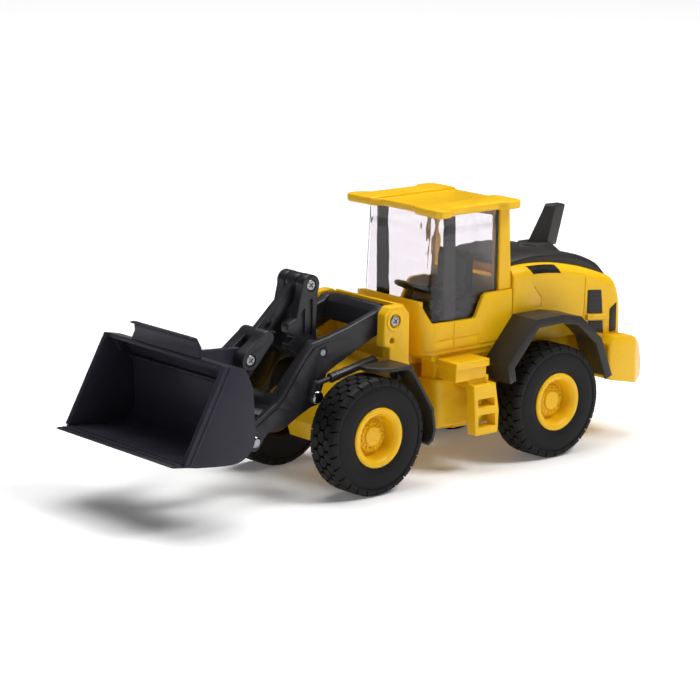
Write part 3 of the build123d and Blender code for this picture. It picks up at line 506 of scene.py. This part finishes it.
def glass_corners(height, inward):
    """Plan outline of the glazing at a height, drawn in by inward, with rounded corners."""
    t = (height - GLASS_BOTTOM) / (GLASS_TOP - GLASS_BOTTOM)
    front = GLASS_FRONT - GLASS_LEAN * t - inward
    rear = GLASS_REAR + inward
    side = GLASS_HALF_WIDTH + GLASS_SPREAD * t - inward
    radii = [GLASS_CORNER - inward] * 2 + [GLASS_REAR_CORNER] * 2
    return rounded([(front, -side), (front, side), (rear, side), (rear, -side)], radii, 6)


def glass_ring(height, inward):
    """The same outline with its long runs divided, in the same number of points at every height."""
    spacing = glass_corners(GLASS_BOTTOM, 0.0)
    outline = glass_corners(height, inward)
    points = []
    for index, (x0, y0) in enumerate(outline):
        x1, y1 = outline[(index + 1) % len(outline)]
        sx, sy = spacing[(index + 1) % len(spacing)]
        run = math.hypot(sx - spacing[index][0], sy - spacing[index][1])
        pieces = max(1, round(run / GLASS_SPACING))
        points += [(x0 + (x1 - x0) * k / pieces, y0 + (y1 - y0) * k / pieces) for k in range(pieces)]
    return points


def cab_glazing():
    """One clear moulding round the cab, wavy inside and thicker in a band along its top."""
    bm = bmesh.new()
    rise = GLASS_TOP - GLASS_BOTTOM
    heights = [GLASS_BOTTOM + rise * k / GLASS_LEVELS for k in range(GLASS_LEVELS + 1)]
    middle_x = (GLASS_FRONT + GLASS_REAR) / 2
    rings = []
    for inward, order in ((0.0, heights), (GLASS_THICK, list(reversed(heights)))):
        for height in order:
            ring = []
            for x, y in glass_ring(height, inward):
                wobble = abs(noise.noise(Vector((x, y, height)) * 0.22)) * 0.10
                if inward:
                    band = math.exp(-((height - BAND_HEIGHT) / BAND_SPREAD) ** 2)
                    wobble += band * (0.5 + 0.35 * math.sin(1.6 * x + 1.4 * y))
                scale = 1.0 - wobble / GLASS_HALF_WIDTH
                ring.append(bm.verts.new((middle_x + (x - middle_x) * scale, y * scale, height)))
            rings.append(ring)
    for low, high in zip(rings, rings[1:] + rings[:1]):
        bridge(bm, low, high)
    piece("cab_glazing_look", mesh_of("cab_glazing", bm, angle=50.0), "cab_glazing")


WHEEL_MIDDLE = (-46.0, 0.0, 67.4)
WHEEL_RAKE = -24
WHEEL_RADIUS = 6.25
GRIP_RADIUS = 0.93
GRIP_GROOVE = 0.10


def steering_wheel():
    """Steering wheel with a grooved rim, two spokes and a hub, on a raked column."""
    bm = bmesh.new()
    tilt = Matrix.Rotation(math.radians(WHEEL_RAKE), 4, "Y")
    middle = Vector(WHEEL_MIDDLE)

    def spot(x, y, z):
        return bm.verts.new(middle + tilt @ Vector((x, y, z)))

    around, across = 48, 10
    rings = []
    for step in range(around):
        a = 2 * math.pi * step / around
        grip = GRIP_RADIUS - GRIP_GROOVE * (step % 4 == 0)
        ring = []
        for index in range(across):
            b = 2 * math.pi * index / across
            r = WHEEL_RADIUS + grip * math.cos(b)
            ring.append(spot(r * math.cos(a), r * math.sin(a), grip * math.sin(b)))
        rings.append(ring)
    for step in range(around):
        ring, after = rings[step], rings[(step + 1) % around]
        for index in range(across):
            follow = (index + 1) % across
            bm.faces.new((ring[index], after[index], after[follow], ring[follow]))

    def closed(lower, upper):
        bm.faces.new(list(reversed(lower)))
        bm.faces.new(upper)
        bridge(bm, lower, upper)

    def circle(radius, height, steps=24):
        turns = [2 * math.pi * k / steps for k in range(steps)]
        return [spot(radius * math.cos(turn), radius * math.sin(turn), height) for turn in turns]

    def drum(radius, bottom, top):
        closed(circle(radius, bottom), circle(radius * 0.9, top))

    def spoke(x0, x1, y0, y1):
        corners = ((x0, y0), (x1, y0), (x1, y1), (x0, y1))
        closed([spot(x, y, -0.5) for x, y in corners], [spot(x, y, 0.4) for x, y in corners])

    drum(1.9, -0.8, 0.8)
    drum(1.25, -5.0, -0.6)
    spoke(-6.2, 6.2, -0.75, 0.75)
    spoke(-0.75, 0.75, -6.2, 6.2)
    piece("steering_wheel_look", mesh_of("steering_wheel", bm), "steering_wheel")


# ---------------------------------------------------------------- engine cover details
SHOULDER_LINE = [(-78.2, 74.0), (-92.0, 74.3), (-106.0, 72.6)]
SHOULDER_RADIUS = 4.2
VENT_PANELS = [
    [(-118.4, 61.0), (-126.0, 60.2), (-127.0, 50.6), (-118.2, 51.6)],
    [(-118.8, 48.6), (-127.2, 47.6), (-127.7, 42.4), (-119.8, 44.4)]]
VENT_SLATS = (7, 4)


def hood_top_z(x):
    """Height at x of the parabola through the engine cover's shoulder line."""
    total = 0.0
    for index, (xi, zi) in enumerate(SHOULDER_LINE):
        weight = 1.0
        for other, (xj, _) in enumerate(SHOULDER_LINE):
            if other != index:
                weight *= (x - xj) / (xi - xj)
        total += weight * zi
    return total


def shoulder_plate(name, side, x_front, x_rear, turn_low, turn_high, lift, material):
    """Thin plain plate that lies on the engine cover's rounded shoulder."""
    radius = SHOULDER_RADIUS
    bm = bmesh.new()
    columns, rows = 14, 8
    grids = []
    for raise_by in (lift, lift - 0.3):
        grid = []
        for row in range(rows + 1):
            turn = math.radians(turn_low + (turn_high - turn_low) * row / rows)
            skew = (turn_high - math.degrees(turn)) * 0.05
            line = []
            for column in range(columns + 1):
                x = x_front + (x_rear - x_front) * column / columns - skew
                y = BODY_HALF_WIDTH - radius + (radius + raise_by) * math.cos(turn)
                z = hood_top_z(x) - radius + (radius + raise_by) * math.sin(turn)
                line.append(bm.verts.new((x, side * y, z)))
            grid.append(line)
        grids.append(grid)
    top, bottom = grids
    for row in range(rows):
        for column in range(columns):
            for grid in (top, bottom):
                bm.faces.new((grid[row][column], grid[row][column + 1], grid[row + 1][column + 1],
                              grid[row + 1][column]))
    edge = ([(0, c) for c in range(columns)] + [(r, columns) for r in range(rows)] +
            [(rows, c) for c in range(columns, 0, -1)] + [(r, 0) for r in range(rows, 0, -1)])
    for index, (r0, c0) in enumerate(edge):
        r1, c1 = edge[(index + 1) % len(edge)]
        bm.faces.new((top[r0][c0], top[r1][c1], bottom[r1][c1], bottom[r0][c0]))
    extra(name, mesh_of(name, bm), "rear_frame", material)


def side_vents():
    """Louvre panels with raised frames and slanted slats on both sides."""
    bm = bmesh.new()
    y = BODY_HALF_WIDTH
    for side in (1, -1):
        for panel, slats in zip(VENT_PANELS, VENT_SLATS):
            side_prism(bm, rounded(panel, 0.6), side, y, y + 0.08)
            for slat in range(slats):
                t0, t1 = (slat + 0.25) / slats, (slat + 0.75) / slats
                left = [Vector(panel[0]).lerp(Vector(panel[3]), t) for t in (t0, t1)]
                right = [Vector(panel[1]).lerp(Vector(panel[2]), t) for t in (t0, t1)]
                inset = [left[0].lerp(right[0], 0.1), left[0].lerp(right[0], 0.9),
                         left[1].lerp(right[1], 0.9), left[1].lerp(right[1], 0.1)]
                side_prism(bm, [tuple(p) for p in inset], side, y, y + 0.33)
    piece("side_vents_look", mesh_of("side_vents", bm), "side_vents")


# ---------------------------------------------------------------- bucket
BUCKET_BACK = [(71.4, 59.2), (63.4, 57.2), (61.0, 53.6), (59.3, 49.0), (58.6, 40.0), (58.2, 31.6),
               (59.6, 27.8), (62.9, 24.8), (69.0, 23.5), (84.0, 24.9)]
BUCKET_HALF_WIDTH = 35.9
BUCKET_WALL = 1.5
BAND_FRONT = (Vector((71.9, 59.2)), Vector((89.4, 27.4)))      # top and bottom of the side band's edges
BAND_REAR = (Vector((68.6, 58.6)), Vector((86.2, 26.0)))
BAND_RAILS = ((0.02, 0.30), (0.70, 0.98))                      # shares of the band's width
GUSSET = [(70.6, 58.4), (64.4, 56.8), (66.0, 51.6)]
LIP = [(84.0, 24.9), (93.2, 26.16), (94.2, 26.5), (94.2, 26.8), (93.6, 27.0), (83.88, 26.4)]
LIP_HALF_WIDTH = 35.0
LIP_SLOPE = 0.062


def smooth_path(path, steps=5):
    """Open path rounded by a Catmull-Rom curve through its points."""
    result = []
    points = [Vector(p) for p in path]
    for index in range(len(points) - 1):
        p0, p1 = points[max(index - 1, 0)], points[index]
        p2, p3 = points[index + 1], points[min(index + 2, len(points) - 1)]
        for step in range(steps):
            t = step / steps
            result.append(0.5 * ((2 * p1) + (p2 - p0) * t + (2 * p0 - 5 * p1 + 4 * p2 - p3) * t * t +
                                 (3 * p1 - p0 - 3 * p2 + p3) * t ** 3))
    return result + [points[-1]]


def bucket_shell():
    """Bucket: a curved back and floor, side plates with a thick front band, and ridges inside and out."""
    outer = smooth_path(BUCKET_BACK)
    inner = []
    for index, point in enumerate(outer):
        ahead, behind = outer[min(index + 1, len(outer) - 1)], outer[max(index - 1, 0)]
        along = (ahead - behind).normalized()
        inner.append(point + Vector((-along.y, along.x)) * BUCKET_WALL)
    bm = bmesh.new()
    half = BUCKET_HALF_WIDTH
    add_prism(bm, [tuple(p) for p in outer] + [tuple(p) for p in reversed(inner)], -half + 0.4, half - 0.4)
    side_line = [tuple(p) for p in outer] + [(89.4, 26.0), (88.6, 28.4), (72.0, 59.2)]
    (front_top, front_low), (rear_top, rear_low) = BAND_FRONT, BAND_REAR
    band = rounded([tuple(front_top), tuple(front_low), tuple(rear_low), tuple(rear_top)], 0.6)
    rails = []
    for near, far in BAND_RAILS:
        rail = [front_top.lerp(rear_top, near), front_low.lerp(rear_low, near),
                front_low.lerp(rear_low, far), front_top.lerp(rear_top, far)]
        rails.append([tuple(corner) for corner in rail])
    for side in (1, -1):
        side_prism(bm, side_line, side, half - BUCKET_WALL, half)
        side_prism(bm, band, side, half - 0.8, half + 0.2)
        for rail in rails:
            side_prism(bm, rail, side, half - 0.2, half + 0.5)
        side_prism(bm, GUSSET, side, half - 2.4, half - 1.4)
    for u, v in ((62.6, 54.4), (61.0, 49.6)):
        ridge = rounded([(u - 0.4, v + 1.0), (u + 1.5, v + 0.4), (u + 1.1, v - 0.9), (u - 0.8, v - 1.0)], 0.4)
        add_prism(bm, ridge, -half + 1.2, half - 1.2)
    mesh = bevelled(mesh_of("bucket_shell", bm), 0.22)
    piece("bucket_shell_look", mesh, "bucket_shell", BUCKET_GREY)


def cutting_edge():
    """Lip plate with a bevelled front, two raised lines and a shallow step at its root."""
    bm = bmesh.new()
    add_prism(bm, LIP, -LIP_HALF_WIDTH, LIP_HALF_WIDTH)
    for x in (88.4, 91.6):
        z = 26.4 + (x - 84.0) * LIP_SLOPE
        line = [(x - 0.5, z - 0.2), (x + 0.5, z - 0.14), (x + 0.4, z + 0.42), (x - 0.4, z + 0.36)]
        add_prism(bm, rounded(line, 0.25), -LIP_HALF_WIDTH + 1.0, LIP_HALF_WIDTH - 1.0)
    piece("cutting_edge_look", bevelled(mesh_of("cutting_edge", bm), 0.12), "cutting_edge", BUCKET_GREY)


# ---------------------------------------------------------------- lift cylinders
BARREL_TAIL = (-13.0, 47.6)
BARREL_MOUTH = (10.3, 43.0)
LIFT_CENTRE_Y = 18.45
# (radius, run from the mouth), from the bore over the gland and along the tube to the tail
BARREL_PROFILE = [
    (1.01, 0.0), (1.55, 0.0), (1.84, -0.3), (1.84, -1.6), (1.66, -1.75), (1.66, -2.3), (1.84, -2.45),
    (1.84, -4.0), (1.68, -4.2), (1.68, -21.6), (1.2, -22.4), (0.01, -22.4), (0.01, -20.6), (1.01, -20.6)]
BARREL_STEPS = 40


def lift_barrel(side_name):
    """Lift cylinder barrel with a stepped gland at its mouth, moulding lines and a closed tail."""
    side = 1.0 if side_name == "left" else -1.0
    along = (Vector(BARREL_MOUTH) - Vector(BARREL_TAIL)).normalized()
    bm = bmesh.new()
    normal = Vector((-along.y, along.x))
    rings = []
    for step in range(BARREL_STEPS):
        angle = 2 * math.pi * step / BARREL_STEPS
        ring = []
        for radius, run in BARREL_PROFILE:
            spot = Vector(BARREL_MOUTH) + along * run + normal * radius * math.cos(angle)
            ring.append(bm.verts.new((spot.x, side * (LIFT_CENTRE_Y + radius * math.sin(angle)), spot.y)))
        rings.append(ring)
    for ring, after in zip(rings, rings[1:] + rings[:1]):
        bridge(bm, ring, after)
    node = f"lift_barrel_{side_name}"
    piece(f"{node}_look", mesh_of(node, bm), node)


# ---------------------------------------------------------------- put it together
for axle, axle_x in (("front", 0.0), ("rear", -WHEELBASE)):
    for side_name in ("left", "right"):
        tyre(axle, axle_x, side_name)
        rim(axle, axle_x, side_name)

cab_glazing()
steering_wheel()
side_vents()
bucket_shell()
cutting_edge()
for side_name in ("left", "right"):
    lift_barrel(side_name)

hood_lines = grooves([(-89.0, 66.0), (-93.0, 61.0), (-93.0, 57.5), (-82.0, 56.5)], BODY_HALF_WIDTH)
hood_lines += grooves([(-117.0, 66.0), (-116.4, 45.0)], BODY_HALF_WIDTH)
tub_lines = grooves([(-47.7, 47.0), (-47.7, 57.4)], BODY_HALF_WIDTH)
tub_lines += grooves([(-38.0, 50.9), (-60.5, 50.9), (-60.5, 47.0)], BODY_HALF_WIDTH)
boom_lines = grooves([(9.1, 56.1), (15.8, 54.8), (20.1, 50.5), (24.3, 44.6), (28.6, 38.8), (32.3, 35.1),
                      (37.6, 31.9), (42.4, 29.3)], ARM_OUTER_Y, width=0.4)
CUT_LINES = {"hood": hood_lines, "cab_tub": tub_lines, "boom": boom_lines}
BUCKET_NODES = ("bucket_lugs", "spill_guard")
# how far each node's edges are rounded, mm
SOFT_EDGE = {
    "hood": 0.3, "hood_top": 0.3, "intake_fin": 0.35, "cab_tub": 0.35, "cab_skirt": 0.2,
    "cab_rear_frame": 0.3, "cab_roof": 0.25, "cab_interior": 0.3, "seat": 0.6, "counterweight": 0.9,
    "rear_grille": 0.12, "rear_chassis": 0.35, "side_plates": 0.1, "vent_bars": 0.15, "front_chassis": 0.3,
    "boom": 0.3,
    "tilt_link": 0.25, "lever_left": 0.25, "lever_right": 0.25, "bucket_lugs": 0.25, "spill_guard": 0.25}
SOFT_EDGE_EACH_SIDE = {
    "door_pillar": 0.15, "rear_fender": 0.3, "front_fender": 0.3, "step_ladder": 0.3, "lift_rod": 0.2}

for node, width in SOFT_EDGE.items():
    finish = BUCKET_GREY if node in BUCKET_NODES else None
    dress(node, width, material=finish, cutters=CUT_LINES.get(node, ()))
for side_name in ("left", "right"):
    for node, width in SOFT_EDGE_EACH_SIDE.items():
        dress(f"{node}_{side_name}", width)
for side, side_name in ((1, "left"), (-1, "right")):
    shoulder_plate(f"shoulder_badge_{side_name}", side, -86.0, -101.0, 8.0, 58.0, 0.10, PLATE)

# pins, screws and axles are shown as the CAD has them, with their own finish
CARRIED_OVER = (
    "front_axle", "rear_axle", "articulation_pin", "chassis_screws", "boom_screw_left", "boom_screw_right",
    "lever_pin", "lift_pins", "bucket_pins", "lever_screw", "link_screw")
for node in CARRIED_OVER:
    coat(frame["nodes"][node].data, FINISH[SLOT_OF[node]])


# ---------------------------------------------------------------- floor, light and camera
FLOOR_REACH = 4000.0            # mm each way
FLOOR_Z = -0.02
GLOW_START, GLOW_END = 0.35, 1.30               # distances between which the ground's own glow grows, m
GLOW_NEAR, GLOW_FAR = 0.10, 0.85
CAMERA_SPOT = (620.05, 752.09, 266.63)
CAMERA_TARGET = (-14.986, 0.0, 46.962)
CAMERA_ROLL = 0.576             # degrees
LENS = 137.9
BRIGHT_SIDE = (-0.62, -0.72, 0.30)              # the way from the object to the brightest surroundings


def floor():
    """Wide pale ground under the wheels, which glows a little far away, so that it fades to white."""
    bm = bmesh.new()
    corners = ((-1, -1), (1, -1), (1, 1), (-1, 1))
    bm.faces.new([bm.verts.new((x * FLOOR_REACH, y * FLOOR_REACH, FLOOR_Z)) for x, y in corners])
    mesh = mesh_of("floor", bm)
    obj = linked("floor", mesh)
    material, tree, principled = shader("pale ground")
    cloud = texture(tree, 3.0, 2.0)
    tree.links.new(ramp(tree, cloud, (0.93, 0.93, 0.93), (0.95, 0.95, 0.95)).outputs["Color"],
                   principled.inputs["Base Color"])
    principled.inputs["Roughness"].default_value = 0.9
    principled.inputs["Specular IOR Level"].default_value = 0.1
    principled.inputs["Emission Color"].default_value = (1.0, 1.0, 1.0, 1.0)
    where = tree.nodes.new("ShaderNodeNewGeometry")
    distance = tree.nodes.new("ShaderNodeVectorMath")
    distance.operation = "LENGTH"
    tree.links.new(where.outputs["Position"], distance.inputs[0])
    far_glow = tree.nodes.new("ShaderNodeMapRange")
    far_glow.inputs["From Min"].default_value = GLOW_START
    far_glow.inputs["From Max"].default_value = GLOW_END
    far_glow.inputs["To Min"].default_value = GLOW_NEAR
    far_glow.inputs["To Max"].default_value = GLOW_FAR
    tree.links.new(distance.outputs["Value"], far_glow.inputs["Value"])
    tree.links.new(far_glow.outputs["Result"], principled.inputs["Emission Strength"])
    coat(mesh, material)


def soft_light(name, spot, target, size, power):
    """Square area light at spot, aimed at target."""
    data = bpy.data.lights.new(name, "AREA")
    data.size = size
    data.energy = power
    obj = linked(name, data)
    obj.location = spot
    obj.rotation_euler = (Vector(target) - Vector(spot)).to_track_quat("-Z", "Y").to_euler()


def camera():
    """Camera at the front left, a little above the roof, with a long lens."""
    data = bpy.data.cameras.new("camera")
    data.lens = LENS
    data.sensor_width = 36.0
    data.clip_start = 0.05
    data.clip_end = 50.0
    obj = linked("camera", data)
    spot = place(*CAMERA_SPOT)
    look = (place(*CAMERA_TARGET) - spot).normalized()
    turn = look.to_track_quat("-Z", "Y").to_matrix().to_4x4()
    roll = Matrix.Rotation(math.radians(CAMERA_ROLL), 4, "Z")
    obj.matrix_world = Matrix.Translation(spot) @ turn @ roll
    bpy.context.scene.camera = obj


def world():
    """White surroundings, darker on the side that faces the object's left and front."""
    surroundings = bpy.data.worlds.new("studio")
    surroundings.use_nodes = True
    tree = surroundings.node_tree
    coordinates = tree.nodes.new("ShaderNodeTexCoord")
    slope = tree.nodes.new("ShaderNodeVectorMath")
    slope.operation = "DOT_PRODUCT"
    slope.inputs[1].default_value = BRIGHT_SIDE
    tree.links.new(coordinates.outputs["Generated"], slope.inputs[0])
    tone = tree.nodes.new("ShaderNodeMapRange")
    tone.inputs["From Min"].default_value = -0.5
    tone.inputs["From Max"].default_value = 0.6
    tone.inputs["To Min"].default_value = 0.16
    tone.inputs["To Max"].default_value = 0.9
    tree.links.new(slope.outputs["Value"], tone.inputs["Value"])
    back = tree.nodes["Background"]
    tree.links.new(tone.outputs["Result"], back.inputs["Strength"])
    bpy.context.scene.world = surroundings


middle = (0.0, 0.0, 0.04)
floor()
soft_light("key", (-0.45, 0.55, 0.90), middle, size=0.40, power=7.5)
soft_light("fill", (0.8, 0.5, 0.35), middle, size=0.8, power=1.5)
soft_light("top", (-0.1, -0.2, 1.1), middle, size=0.9, power=13.0)
world()
camera()
bpy.context.scene.view_settings.view_transform = "Standard"
